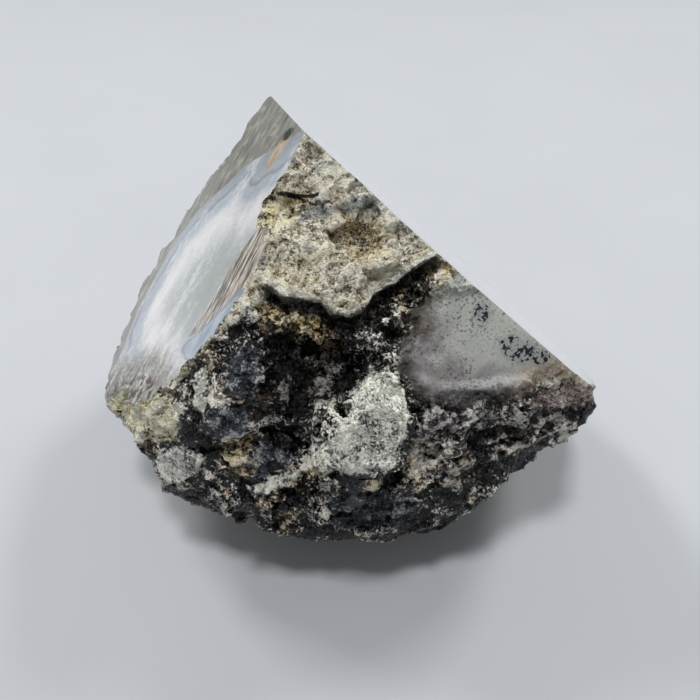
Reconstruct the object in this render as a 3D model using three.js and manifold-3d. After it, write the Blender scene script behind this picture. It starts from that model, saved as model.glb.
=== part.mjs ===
// Banded agate specimen: one broken piece of nodule, sawn and polished on two flat faces that
// meet in a short ridge, and left rough all over the rest.
// Millimetres. X runs to the right, Y to the back, Z up. The origin lies on the surface that the
// stone rests on, under the middle of its outline.

import * as THREE from 'three';
import { mergeVertices } from 'three/addons/utils/BufferGeometryUtils.js';
import Module from 'manifold-3d';

// Everything below is measured from the heart, a point inside the stone at this height above
// the flat spot that the stone rests on.
const HEART_HEIGHT = 34;

// The two sawn faces: azimuth of the outward normal from +X towards +Y and its elevation above
// the horizontal, in degrees, and the distance of the face from the heart.
const POLISHED_LEFT = { azimuth: -173, elevation: 45, distance: 33 };
const POLISHED_RIGHT = { azimuth: 28.5, elevation: 43, distance: 24.9 };
const RESTING_SPOT = { azimuth: 0, elevation: -90, distance: HEART_HEIGHT };

// The broken faces of the nodule, in the same terms.
const BROKEN_FACES = {
  crown: { azimuth: 90, elevation: 78, distance: 42.5 },
  upperSlope: { azimuth: -92, elevation: 66, distance: 36.5 },
  frontLeft: { azimuth: -102, elevation: 36, distance: 39.5 },
  window: { azimuth: -84, elevation: 41, distance: 39 },
  frontLow: { azimuth: -104, elevation: 8, distance: 42.5 },
  rightLow: { azimuth: -70, elevation: 2, distance: 45.5 },
  rightCorner: { azimuth: -42, elevation: -10, distance: 51 },
  leftLow: { azimuth: -134, elevation: 2, distance: 49 },
  leftEnd: { azimuth: 165, elevation: -5, distance: 46 },
  backLeft: { azimuth: 138, elevation: 12, distance: 43 },
  backRight: { azimuth: 66, elevation: 8, distance: 34 },
  farRight: { azimuth: 36, elevation: -12, distance: 43 },
  underFront: { azimuth: -92, elevation: -46, distance: 45.5 },
  underLeft: { azimuth: -160, elevation: -48, distance: 41 },
  underRight: { azimuth: -30, elevation: -42, distance: 43 },
  underBack: { azimuth: 85, elevation: -44, distance: 38 },
  soleFront: { azimuth: -100, elevation: -66, distance: 38.5 },
  soleLeft: { azimuth: 175, elevation: -66, distance: 38.5 },
  soleRight: { azimuth: -10, elevation: -66, distance: 38.5 },
  soleBack: { azimuth: 85, elevation: -66, distance: 38.5 },
};

// How sharply the broken faces meet. A higher number gives sharper edges.
const EDGE_SHARPNESS = 24;

// Hollows, ledges and lumps of the broken faces: the middle of each, how far it reaches along
// X, Y and Z, how far it rises out of the face (below zero, sinks into it), and how much of its
// reach its rim takes: a small rim is a steep step, and 1 is a soft dome or bowl.
const RELIEF = {
  upperHollow: { at: [-13, -3, 33], reach: [32, 15, 12], rise: -8, rim: 1 },
  crackRecess: { at: [-9, -10, 34], reach: [11, 5, 6], rise: -3, rim: 0.5 },
  brownHollow: { at: [4, -15, 32], reach: [9, 6, 6], rise: -4, rim: 0.6 },
  shelf: { at: [0, -25, 25], reach: [6, 4, 4], rise: 2, rim: 0.5 },
  darkCave: { at: [-5, -31, 17], reach: [12, 9, 8], rise: -8, rim: 0.4 },
  rightUndercut: { at: [8, -26, 26], reach: [9, 6, 5], rise: -4, rim: 0.5 },
  palePlate: { at: [4, -40, 8], reach: [9, 8, 11], rise: 3, rim: 0.3 },
  leftGully: { at: [-9, -39, 6], reach: [6, 7, 9], rise: -3.5, rim: 0.7 },
  rightGully: { at: [14, -41, 5], reach: [5, 6, 10], rise: -3, rim: 0.6 },
  rightHollow: { at: [26, -39, 4], reach: [9, 6, 6], rise: -2.5, rim: 0.6 },
  creamRidge: { at: [-12, -41, -5], reach: [11, 5, 4], rise: 2.5, rim: 0.5 },
  upperLump: { at: [-18, -33, 16], reach: [6, 6, 7], rise: 2, rim: 0.7 },
  lowerLump: { at: [-20, -38, 7], reach: [7, 6, 6], rise: 2, rim: 0.6 },
  cornerNotch: { at: [-41, -23, 3], reach: [8, 8, 7], rise: -4, rim: 0.8 },
  cornerKnob: { at: [-39, -30, -3], reach: [8, 7, 6], rise: 2, rim: 0.7 },
  smoothWindow: { at: [24, -30, 21], reach: [22, 10, 10], rise: -1.5, rim: 0.25 },
  leftFoot: { at: [-35, -34, -14], reach: [10, 9, 10], rise: 1.5, rim: 0.7 },
  underNotch: { at: [-18, -40, -19], reach: [7, 6, 6], rise: -2.5, rim: 0.8 },
  rightSpur: { at: [45, -29, -1], reach: [10, 9, 8], rise: 3, rim: 0.8 },
  leftEdgeNotch: { at: [-41, 13, 8], reach: [9, 9, 8], rise: -3, rim: 0.8 },
  backPit: { at: [6, 36, -8], reach: [15, 10, 11], rise: -4, rim: 0.5 },
  backShoulder: { at: [-28, 30, -10], reach: [13, 12, 9], rise: 3, rim: 0.5 },
  farRightPit: { at: [38, 22, -16], reach: [13, 13, 9], rise: -3.5, rim: 0.5 },
  leftEndPit: { at: [-46, 0, -17], reach: [9, 14, 8], rise: -3, rim: 0.5 },
};

// Scalloped chips that the fracture left all over the broken faces.
const CHIP_SIZES = [
  { width: 17, depth: 2.6 },
  { width: 8, depth: 1.3 },
];

// The usual level of the chips' bowls, taken off them so that they don't thicken the stone.
const BOWL_LEVEL = 0.4;

// The ball that the broken surface is shaped from: cuts along each edge of an icosahedron.
const BALL_CUTS = 22;

// Corners nearer to each other than this are one corner.
const SAME_CORNER = 1e-4;

// Side of the blocks that saw the stone, well over its length.
const SAW_BLOCK = 300;

const STONE_COLOUR = 0x8f8a82;
const STONE_ROUGHNESS = 0.6;

const DEGREE = Math.PI / 180;

// Unit vector for an azimuth and an elevation in degrees.
function direction({ azimuth, elevation }) {
  const flat = Math.cos(elevation * DEGREE);
  return new THREE.Vector3(
    flat * Math.cos(azimuth * DEGREE),
    flat * Math.sin(azimuth * DEGREE),
    Math.sin(elevation * DEGREE),
  );
}

const faces = Object.values(BROKEN_FACES).map((face) => ({
  normal: direction(face),
  distance: face.distance,
}));

// Distance from the heart to the broken faces along a direction, with their edges rounded.
function faceRadius(way) {
  let sum = 0;
  for (const face of faces) {
    sum += (Math.max(0, face.normal.dot(way)) / face.distance) ** EDGE_SHARPNESS;
  }
  return sum ** (-1 / EDGE_SHARPNESS);
}

// How much of one hollow or lump reaches a point, from 0 outside it to 1 in its middle.
function share({ at, reach, rim }, point) {
  const away = Math.hypot(
    (point.x - at[0]) / reach[0],
    (point.y - at[1]) / reach[1],
    (point.z - at[2]) / reach[2],
  );
  return THREE.MathUtils.smoothstep((1 - away) / rim, 0, 1);
}

// A repeatable number from 0 to 1 for a cell of the grid that scatters the chips.
function scatter(x, y, z, kind) {
  const mixed = Math.sin(x * 127.1 + y * 311.7 + z * 74.7 + kind * 53.3) * 43758.5453;
  return mixed - Math.floor(mixed);
}

// Scalloped fracture: the lowest of many shallow bowls, each with a tilt of its own.
function scallop(point, width) {
  const x = point.x / width;
  const y = point.y / width;
  const z = point.z / width;
  let lowest = Infinity;
  for (let i = -1; i <= 1; i++) {
    for (let j = -1; j <= 1; j++) {
      for (let k = -1; k <= 1; k++) {
        const a = Math.floor(x) + i;
        const b = Math.floor(y) + j;
        const c = Math.floor(z) + k;
        const dx = x - a - scatter(a, b, c, 1);
        const dy = y - b - scatter(a, b, c, 2);
        const dz = z - c - scatter(a, b, c, 3);
        const tilt = dx * (scatter(a, b, c, 4) - 0.5)
          + dy * (scatter(a, b, c, 5) - 0.5)
          + dz * (scatter(a, b, c, 6) - 0.5);
        lowest = Math.min(lowest, dx * dx + dy * dy + dz * dz + tilt);
      }
    }
  }
  return lowest - BOWL_LEVEL;
}

// A point of the broken surface along a direction from the heart.
function brokenPoint(way) {
  const face = way.clone().multiplyScalar(faceRadius(way));
  const chipped = 1 - share(RELIEF.smoothWindow, face);
  let out = 0;
  for (const { width, depth } of CHIP_SIZES) out += depth * scallop(face, width) * chipped;
  for (const form of Object.values(RELIEF)) out += form.rise * share(form, face);
  return face.addScaledVector(way, out);
}

const wasm = await Module();
wasm.setup();

// A closed mesh as a solid that can be cut.
function solidOf(geometry) {
  geometry.deleteAttribute('normal');
  geometry.deleteAttribute('uv');
  const merged = mergeVertices(geometry, SAME_CORNER);
  return new wasm.Manifold(new wasm.Mesh({
    numProp: 3,
    vertProperties: merged.attributes.position.array,
    triVerts: new Uint32Array(merged.index.array),
  }));
}

// The whole broken piece, before any sawing.
function brokenPiece() {
  const ball = new THREE.IcosahedronGeometry(1, BALL_CUTS);
  const position = ball.attributes.position;
  for (let i = 0; i < position.count; i++) {
    const way = new THREE.Vector3().fromBufferAttribute(position, i).normalize();
    const point = brokenPoint(way);
    position.setXYZ(i, point.x, point.y, point.z);
  }
  return solidOf(ball);
}

// A block that fills everything beyond a flat face.
function blockBeyond(face) {
  const block = new THREE.BoxGeometry(SAW_BLOCK, SAW_BLOCK, SAW_BLOCK);
  block.translate(0, 0, SAW_BLOCK / 2 + face.distance);
  const up = new THREE.Vector3(0, 0, 1);
  block.applyQuaternion(new THREE.Quaternion().setFromUnitVectors(up, direction(face)));
  return solidOf(block);
}

// The broken piece, sawn flat on each of the flat faces.
function sawnPiece() {
  let piece = brokenPiece();
  for (const face of [POLISHED_LEFT, POLISHED_RIGHT, RESTING_SPOT]) {
    piece = piece.subtract(blockBeyond(face));
  }
  return piece;
}

function agateStone() {
  const { vertProperties, triVerts } = sawnPiece().getMesh();
  const geometry = new THREE.BufferGeometry();
  geometry.setAttribute('position', new THREE.BufferAttribute(vertProperties, 3));
  geometry.setIndex(new THREE.BufferAttribute(triVerts, 1));
  geometry.computeVertexNormals();
  const stone = new THREE.MeshStandardMaterial({
    color: STONE_COLOUR,
    roughness: STONE_ROUGHNESS,
    metalness: 0,
  });
  const mesh = new THREE.Mesh(geometry, stone);
  mesh.name = 'agate_stone';
  geometry.computeBoundingBox();
  const middle = geometry.boundingBox.getCenter(new THREE.Vector3());
  mesh.position.set(-middle.x, -middle.y, HEART_HEIGHT);
  return mesh;
}

const specimen = new THREE.Group();
specimen.add(agateStone());

export default specimen;
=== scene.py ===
"""Banded agate specimen: one broken nodule with two sawn and polished faces, dressed around its
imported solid. Measures are millimetres from the heart of the stone until the mesh is finished,
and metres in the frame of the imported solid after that."""

import math

import bmesh
import bpy
import numpy as np
from bpy.props import FloatProperty, FloatVectorProperty, IntProperty, PointerProperty
from mathutils import Matrix, Vector


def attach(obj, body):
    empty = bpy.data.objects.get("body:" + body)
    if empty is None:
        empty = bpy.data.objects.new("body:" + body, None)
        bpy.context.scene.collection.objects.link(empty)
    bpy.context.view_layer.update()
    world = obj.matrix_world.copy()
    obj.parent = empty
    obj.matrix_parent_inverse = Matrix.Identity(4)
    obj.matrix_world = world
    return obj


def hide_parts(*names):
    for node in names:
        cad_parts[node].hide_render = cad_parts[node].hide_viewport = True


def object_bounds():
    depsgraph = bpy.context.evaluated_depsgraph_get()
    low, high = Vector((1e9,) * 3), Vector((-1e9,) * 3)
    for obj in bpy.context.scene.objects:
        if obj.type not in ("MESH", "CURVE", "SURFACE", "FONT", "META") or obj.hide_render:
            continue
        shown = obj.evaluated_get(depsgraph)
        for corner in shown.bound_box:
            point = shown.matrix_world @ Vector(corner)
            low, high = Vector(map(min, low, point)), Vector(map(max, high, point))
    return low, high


bl_info = {
    "name": "Banded agate specimen",
    "version": (1, 0, 0),
    "blender": (4, 5, 0),
    "location": "3D View > Sidebar > Agate",
    "description": "Builds a broken and polished banded agate around its packed solid",
    "category": "Object",
}

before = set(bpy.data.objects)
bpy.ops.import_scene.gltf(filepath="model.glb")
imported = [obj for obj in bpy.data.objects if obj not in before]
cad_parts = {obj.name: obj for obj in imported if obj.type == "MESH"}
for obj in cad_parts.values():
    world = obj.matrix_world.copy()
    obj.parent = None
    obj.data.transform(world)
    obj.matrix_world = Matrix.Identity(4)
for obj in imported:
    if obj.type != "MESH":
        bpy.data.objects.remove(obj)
CAD_LOW, CAD_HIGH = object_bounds()

MM = 0.001
STONE_NODE = "agate_stone"

# The heart of the stone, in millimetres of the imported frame.
HEART = np.array([-1.197, 1.060, 34.0])

# The sawn faces and the flat spot underneath: azimuth and elevation of the outward normal in
# degrees, and the distance from the heart.
POLISHED_LEFT = (-173, 45, 33)
POLISHED_RIGHT = (28.5, 43, 24.9)
RESTING_SPOT = (0, -90, 34)

# The broken faces of the nodule, in the same terms.
BROKEN_FACES = {
    "crown": (90, 78, 42.5),
    "upper slope": (-92, 66, 36.5),
    "front left": (-102, 36, 39.5),
    "window": (-84, 41, 39),
    "front low": (-104, 8, 42.5),
    "right low": (-70, 2, 45.5),
    "right corner": (-42, -10, 51),
    "left low": (-134, 2, 49),
    "left end": (165, -5, 46),
    "back left": (138, 12, 43),
    "back right": (66, 8, 34),
    "far right": (36, -12, 43),
    "under front": (-92, -46, 45.5),
    "under left": (-160, -48, 41),
    "under right": (-30, -42, 43),
    "under back": (85, -44, 38),
    "sole front": (-100, -66, 38.5),
    "sole left": (175, -66, 38.5),
    "sole right": (-10, -66, 38.5),
    "sole back": (85, -66, 38.5),
}
EDGE_SHARPNESS = 24

# Hollows, ledges and lumps: middle, reach along X, Y and Z, rise out of the face (below zero,
# depth into it), and the part of the reach that the rim takes.
RELIEF = {
    "upper hollow": ((-13, -3, 33), (32, 15, 12), -8, 1),
    "crack recess": ((-9, -10, 34), (11, 5, 6), -3, 0.5),
    "brown hollow": ((4, -15, 32), (9, 6, 6), -4, 0.6),
    "shelf": ((0, -25, 25), (6, 4, 4), 2, 0.5),
    "dark cave": ((-5, -31, 17), (12, 9, 8), -8, 0.4),
    "right undercut": ((8, -26, 26), (9, 6, 5), -4, 0.5),
    "pale plate": ((4, -40, 8), (9, 8, 11), 3, 0.3),
    "left gully": ((-9, -39, 6), (6, 7, 9), -3.5, 0.7),
    "right gully": ((14, -41, 5), (5, 6, 10), -3, 0.6),
    "right hollow": ((26, -39, 4), (9, 6, 6), -2.5, 0.6),
    "cream ridge": ((-12, -41, -5), (11, 5, 4), 2.5, 0.5),
    "upper lump": ((-18, -33, 16), (6, 6, 7), 2, 0.7),
    "lower lump": ((-20, -38, 7), (7, 6, 6), 2, 0.6),
    "corner notch": ((-41, -23, 3), (8, 8, 7), -4, 0.8),
    "corner knob": ((-39, -30, -3), (8, 7, 6), 2, 0.7),
    "smooth window": ((24, -30, 21), (22, 10, 10), -1.5, 0.25),
    "left foot": ((-35, -34, -14), (10, 9, 10), 1.5, 0.7),
    "under notch": ((-18, -40, -19), (7, 6, 6), -2.5, 0.8),
    "right spur": ((45, -29, -1), (10, 9, 8), 3, 0.8),
    "left edge notch": ((-41, 13, 8), (9, 9, 8), -3, 0.8),
    "back pit": ((6, 36, -8), (15, 10, 11), -4, 0.5),
    "back shoulder": ((-28, 30, -10), (13, 12, 9), 3, 0.5),
    "far right pit": ((38, 22, -16), (13, 13, 9), -3.5, 0.5),
    "left end pit": ((-46, 0, -17), (9, 14, 8), -3, 0.5),
}

# Scalloped chips that the fracture left: width and depth.
CHIPS = ((17, 2.6), (8, 1.3))
BOWL_LEVEL = 0.4

# How far noise bends the rims of the hollows and lumps, and how wide its own lumps are.
FORM_WARP = 7
FORM_WARP_WIDTH = 9

# How far the pale plates and the lip of the rind stand out, how deep the lip is undercut, and
# the depth of the crack near the top and of the step below it.
PLATE_RISE = 1.0
LIP_RISE = 1.3
LIP_UNDERCUT = 2.6
CRACK_DEPTH = 1.0
CRACK_STEP = 1.4

# Width and height of the fine chips, splinters and grains.
WIDE_CHIP = (4.3, 0.9)
SMALL_CHIP = (2.1, 0.5)
WIDE_SPLINTER = (6.5, 1.7)
SMALL_SPLINTER = (2.9, 0.9)
RIND_GRAIN = (3.4, 1.1)
FINE_GRAIN = (1.4, 0.7)

# The front of the stone is marked out on a chart: X across, and up along the slope that faces
# the viewer. Patches are outlines on it, and the lip and the crack are lines across it.
CHART_UP = np.array([0, 0.7015, 0.7127])
CHART_OUT = np.array([0, -0.7127, 0.7015])

# A place belongs to the front more and more from the first of these distances out of the heart
# along CHART_OUT, and fully from the second on.
FRONT_STARTS = 4
FRONT_WHOLE = 14

# The length over which those lines fade out past their ends, how far noise bends the outline of
# the window, and the mark of a place that a finish never reaches.
LINE_FADE = 2
WINDOW_WARP = 2.4
NOWHERE = -6.0

# The faces that the photo hides: their share of rind, and the strength of the noise that
# scatters patches of the front's finishes over them.
HIDDEN_RIND = 0.6
HIDDEN_PATCH = 12

BLACK_ROCK = [(-17.7, -1.7), (-13.7, 1.3), (-10.5, 1.8), (-4, 0.2), (-2.9, -1.8), (0.8, -2.4),
              (3.4, -1.4), (5.2, 1.8), (6.9, 4.1), (10.3, 7.2), (14.8, 7.7), (18.5, 5.4), (20, 1),
              (22, -8), (34, -12.5), (45.9, -16), (60, -18), (60, -60), (-60, -60),
              (-60, -24.5), (-40, -23), (-33, -22.4), (-30.8, -19.5), (-31.4, -16.3),
              (-28, -12), (-23.5, -7.1), (-19.5, -3)]
PALE_PLATES = [
    [(1.3, -13.5), (4.6, -9.7), (9, -10.7), (10.8, -15.4), (9.9, -20.6), (8.6, -26.2),
     (4.7, -27.7), (0.2, -27.8), (-3.9, -27.5), (-6, -24.9), (-2.3, -21.9), (0.2, -18.5)],
    [(-17.5, -32), (-13.5, -30.6), (-7.9, -27.6), (-5.6, -25.4), (-4.9, -26.9), (-7.9, -29.6),
     (-13.4, -32.4), (-16.5, -33)],
    [(-26.6, -11.5), (-23.7, -9.8), (-22.7, -12.2), (-23.4, -15.5), (-24.1, -17.6),
     (-26.2, -17.8)],
    [(-36, -27.7), (-30.8, -25), (-26.3, -25), (-25, -26.6), (-26.8, -30), (-29.9, -31.6),
     (-35.5, -31.6)],
]
GOLD_STAINS = [
    [(-14.9, 1.3), (-6.4, -0.8), (-2.4, -3.7), (0.1, -6.2), (-2.5, -8.8), (-7, -6.2),
     (-10.2, -5.3), (-13.7, -3.7)],
    [(0.1, 15.5), (4.2, 16.1), (6.9, 13.5), (7.5, 9), (4.7, 6.7), (1.3, 7.7), (-0.1, 11.6)],
    [(-10.8, 20.9), (-6.3, 20.8), (-5.5, 19.3), (-7.6, 17.9), (-9.8, 18.3)],
    [(14.1, 7.8), (21.7, 8.4), (20.2, 4.2), (17.6, 1.9), (14.4, 1.3), (11.5, 2.1), (12.7, 4.7)],
    [(36.7, -9.8), (44.5, -10.5), (50.3, -13.2), (47.7, -14.2), (40.8, -14.5), (37.4, -12.2)],
    [(-21, -22.2), (-15.8, -22.5), (-16, -28.5), (-19.7, -30.1), (-22.1, -27.8)],
]
BLUE_LUMPS = [
    [(-19.5, -7.4), (-15.7, -6.2), (-13.9, -8.1), (-14.2, -12.1), (-16.1, -15.5),
     (-19.1, -15.1), (-20.5, -11.8)],
    [(-23.5, -17.1), (-18.1, -15.8), (-15.9, -17.6), (-16.4, -21.6), (-20, -23.4),
     (-23.5, -21.2)],
    [(-14.8, 14.8), (-11.8, 18.1), (-6.3, 19.1), (-0.8, 19.1), (6.3, 21.8), (6.2, 18),
     (0.1, 16.7), (-6.3, 16.4), (-10.5, 12.3)],
    [(-15.3, -22.5), (-7.9, -25.7), (-9.7, -28.5), (-14.7, -30.3), (-17.8, -28.5)],
    [(-2.6, -34), (6.3, -31.8), (13.8, -34.4), (13.2, -38.9), (4.7, -40.6), (-1.8, -38.3)],
]
CREAM_CRUSTS = [
    [(-47, -17.5), (-41, -15.7), (-34.4, -15.3), (-31.4, -16.6), (-30.8, -19.5), (-32.1, -21.9),
     (-35.6, -22.8), (-39, -22), (-44, -20.5)],
    [(-19.6, 20.8), (-15.2, 20.6), (-9.9, 18.1), (-10.9, 14.8), (-14.2, 11.9), (-16.2, 8.1),
     (-17, 4.8), (-17.2, 12.6)],
]
PINK_CRUST = [(32.6, -15.3), (35.2, -13), (39.9, -11.9), (47.3, -14.2), (46, -16.4),
              (38.9, -17.9)]
WINDOW = [(18.4, 3.7), (14.4, 1.3), (11.5, -2.3), (9.3, -6.2), (9.7, -10.4), (11.8, -14.6),
          (16.1, -15.9), (22.9, -15.8), (29.8, -15.5), (34.2, -13), (42.1, -9.9), (47.1, -7.1),
          (60, -2), (60, 20), (22.5, 20)]
# Painted shade: outlines of the deep hollows, the cave under the lip among them, which are painted
# near black.
SHADED_HOLLOWS = [
    [(-13.2, -2.4), (-9.3, -5), (-2.5, -6.2), (1.3, -7.1), (1, -12.2), (-0.7, -15.5),
     (-6.6, -16.4), (-11, -13.9), (-13.9, -8.8)],
    [(-15.1, 11.1), (-14.1, 11.3), (-12.8, 8.8), (-13.8, 8.5)],
]
LAYERED_ROCK = [(14.4, -16.2), (22.9, -16.2), (33.7, -15.7), (45, -17), (50, -20), (36.6, -24),
                (31.9, -27), (26.4, -31), (19, -33), (13.5, -28.5), (10.7, -22.1)]
LIP = [(-12.4, 3.8), (-10.1, 1.9), (-6.4, 1.3), (-4, 0.9), (-2.7, -0.9), (0.8, -1.6), (3.2, -0.7),
       (4.9, 2.3), (8.6, 4.4), (11.8, 6.8), (15, 8.6)]
TAN_EDGE = [(27.5, -17), (30.2, -10.7), (34.4, -8.6), (38.5, -9), (44, -10.5), (44, -15),
            (35, -17.5)]
CRACK = [(-14, 21.7), (-10.9, 21.5), (-8.1, 21.1), (-5.4, 20.9)]
DENDRITES = [((23.1, -0.9), 1.5), ((28.2, -6.7), 1.9), ((30.5, -7.4), 1.8), ((33.1, -8.4), 1.4)]

# The pattern of the left polished face is marked out in its own plane: along it towards the
# viewer, and down it towards the left.
LEFT_ALONG = np.array([0.1219, -0.9925, 0])
LEFT_DOWN = np.array([-0.7018, -0.0862, -0.7071])
HOST_ROCK = [(-5, -30), (-8, -24), (-12, -18), (-15.2, -10.9), (-17.9, -7), (-18.3, -1.1),
             (-19.5, 5.3), (-19.9, 9.7), (-18.2, 15), (-17.9, 17.3), (-13.5, 22), (-6.5, 29.5),
             (3, 34), (8, 37), (14, 37), (14, 60), (-60, 60), (-60, -60), (-5, -60)]
INNER_AGATE = [(-4, -15.5), (-6.1, -12.5), (-6.4, -10), (-8.9, -8), (-13.7, -7.7),
               (-14.5, 1.5), (-15.8, 9), (-15, 15), (-11, 20), (-7, 26), (0, 31), (8, 32),
               (16, 28), (30, 20), (60, 0), (60, -40), (0, -40)]
STREAKED_STRIP = [(5, -15), (8, -9), (10.6, -3.8), (14.5, 1.5), (18.9, 7.6), (19.2, 10.2),
                  (21.5, 6), (20.5, 1), (21.1, -9), (22, -24), (6, -24)]
BLUE_POCKET = [(21.1, -8), (20.8, 1), (21.5, 6), (21, 12), (26, 10), (29, 4), (30, -2),
               (26, -8)]
LOW_END = [(10, 42), (10, 34), (13, 27), (17, 20), (24, 15), (32, 12), (40, 12), (40, 42)]
BROWN_STREAK = [(-13.5, -18.5), (-10.5, -19.5), (-8, -15.5), (-7, -12.5), (-9.5, -13),
                (-12.5, -15.5)]
LEFT_PATCHES = {
    "host": HOST_ROCK,
    "fort": INNER_AGATE,
    "strip": STREAKED_STRIP,
    "pocket": BLUE_POCKET,
    "low_end": LOW_END,
    "stain": BROWN_STREAK,
}
VUG = (-12.7, -19.5)


def unit(azimuth, elevation):
    """Unit vector for an azimuth from +X towards +Y and an elevation, in degrees."""
    turn, lift = math.radians(azimuth), math.radians(elevation)
    return np.array([math.cos(lift) * math.cos(turn), math.cos(lift) * math.sin(turn),
                     math.sin(lift)])


def smooth(value):
    """0 below 0 and 1 above 1, with a soft start and end."""
    value = np.clip(value, 0, 1)
    return value * value * (3 - 2 * value)


def ease(value, start, end):
    """0 up to the start and 1 from the end on, softly; the end may lie below the start."""
    return smooth((value - start) / (end - start))


def face_radius(way):
    """Distance from the heart to the broken faces along each direction, edges rounded."""
    total = np.zeros(len(way))
    for azimuth, elevation, distance in BROKEN_FACES.values():
        total += (np.maximum(0, way @ unit(azimuth, elevation)) / distance) ** EDGE_SHARPNESS
    return total ** (-1 / EDGE_SHARPNESS)


def share(form, point):
    """How much of one hollow or lump reaches each point."""
    at, reach, _, rim = form
    away = np.linalg.norm((point - np.array(at)) / np.array(reach), axis=1)
    return smooth((1 - away) / rim)


def scatter(cell, kind):
    """A repeatable number from 0 to 1 for each cell."""
    mixed = np.sin(cell @ np.array([127.1, 311.7, 74.7]) + kind * 53.3) * 43758.5453
    return mixed - np.floor(mixed)


def neighbours(reach):
    """Offsets to the cells around one cell."""
    return [np.array([i, j, k], float) for i in reach for j in reach for k in reach]


def scattered_seeds(point, width, kind):
    """For each cell around each point: the cell, the squared distance to the seed in it, and
    the height of a slope of its own through that seed, all in cell widths."""
    place = point / width
    base = np.floor(place)
    for offset in neighbours((-1, 0, 1)):
        cell = base + offset
        away = np.stack([(place - cell)[:, i] - scatter(cell, kind + i) for i in range(3)], axis=1)
        slope = sum(away[:, i] * (scatter(cell, kind + 3 + i) - 0.5) for i in range(3))
        yield cell, (away * away).sum(axis=1), slope


def scallop(point, width):
    """The lowest of many shallow bowls, each with a tilt of its own."""
    bowls = [reach + tilt for _, reach, tilt in scattered_seeds(point, width, 1)]
    return np.min(bowls, axis=0) - BOWL_LEVEL


def facet(point, width):
    """Flat splinters with heights and slopes of their own: height around 0, and a tone."""
    nearest = np.full(len(point), np.inf)
    height = np.zeros(len(point))
    tone = np.zeros(len(point))
    for cell, reach, slope in scattered_seeds(point, width, 7):
        closer = reach < nearest
        nearest = np.where(closer, reach, nearest)
        height = np.where(closer, 1.3 * slope + 0.5 * (scatter(cell, 13) - 0.5), height)
        tone = np.where(closer, scatter(cell, 14), tone)
    return height, tone


def cloud(point, width, kind):
    """Soft noise from 0 to 1 with lumps of the given width."""
    place = point / width
    base = np.floor(place)
    blend = smooth(place - base)
    total = np.zeros(len(point))
    for corner in neighbours((0, 1)):
        weight = np.prod(np.where(corner == 1, blend, 1 - blend), axis=1)
        total += weight * scatter(base + corner, kind)
    return total


def crumble(point, width, kind, octaves=3):
    """Noise around 0 whose lumps carry smaller lumps."""
    total = np.zeros(len(point))
    for octave in range(octaves):
        total += (cloud(point, width / 2 ** octave, kind + octave) - 0.5) / 2 ** octave
    return total


def inside(place, outline):
    """Distance of each place from an outline, positive inside it."""
    nearest = np.full(len(place), np.inf)
    within = np.zeros(len(place), bool)
    corners = np.array(outline, float)
    for start, end in zip(corners, np.roll(corners, -1, axis=0)):
        line = end - start
        along = np.clip((place - start) @ line / (line @ line), 0, 1)
        nearest = np.minimum(nearest, np.hypot(*(place - start - along[:, None] * line).T))
        if start[1] != end[1]:
            level = (start[1] > place[:, 1]) != (end[1] > place[:, 1])
            cross = start[0] + (place[:, 1] - start[1]) * line[0] / line[1]
            within ^= level & (place[:, 0] < cross)
    return np.where(within, nearest, -nearest)


def inside_any(place, outlines):
    """Distance into the nearest of several outlines."""
    return np.max([inside(place, outline) for outline in outlines], axis=0)


def chart_of(point):
    """Place on the front chart, and how far each point belongs to the front."""
    place = np.stack([point[:, 0], point @ CHART_UP], axis=1)
    return place, ease(point @ CHART_OUT, FRONT_STARTS, FRONT_WHOLE)


def above_line(place, line):
    """Height of each place above a line across the chart, and its share between the ends."""
    across, height = np.array(line).T
    between = ease(place[:, 0], across[0] - LINE_FADE, across[0])
    between = between * ease(place[:, 0], across[-1] + LINE_FADE, across[-1])
    return place[:, 1] - np.interp(place[:, 0], across, height), between


def nudged(point, reach, width, kinds, octaves=3):
    """Points that noise moves by its own amount along X, Y and Z."""
    moves = [crumble(point, width, kind, octaves) for kind in kinds]
    return point + reach * np.stack(moves, axis=1)


def solid_surface(way):
    """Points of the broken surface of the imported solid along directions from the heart, with
    the rims of its hollows and lumps bent by noise."""
    face = way * face_radius(way)[:, None]
    out = sum(depth * scallop(face, width) for width, depth in CHIPS)
    out = out * (1 - share(RELIEF["smooth window"], face))
    bent = nudged(face, FORM_WARP, FORM_WARP_WIDTH, (101, 111, 121))
    for form in RELIEF.values():
        out += form[2] * share(form, bent)
    return face + way * out[:, None]


def window_depth(point, place):
    """Distance into the smooth window, whose outline noise bends."""
    return inside(place, WINDOW) + WINDOW_WARP * crumble(point, 6, 161)


def rind_share(place, front):
    """How much of the weathered rind each place of the chart has."""
    return ease(inside(place, BLACK_ROCK), 1, -1) * front + HIDDEN_RIND * (1 - front)


def broken_surface(way):
    """The solid's broken surface with the plates, the lip and the crack of the front."""
    point = solid_surface(way)
    place, front = chart_of(point)
    out = front * PLATE_RISE * ease(inside_any(place, PALE_PLATES), -0.24, 0.56)
    over, between = above_line(place, LIP)
    out += front * between * LIP_RISE * ease(over, -0.3, 0.1) * ease(over, 6, 1)
    out -= front * between * LIP_UNDERCUT * ease(over, 0.1, -0.4) * ease(over, -6, -1)
    gap, between = above_line(place, CRACK)
    out -= front * between * CRACK_DEPTH * ease(np.abs(gap), 0.9, 0)
    out -= front * between * CRACK_STEP * ease(gap, 0.2, -0.3) * ease(gap, -4.5, -0.5)
    return point + way * out[:, None]


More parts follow.
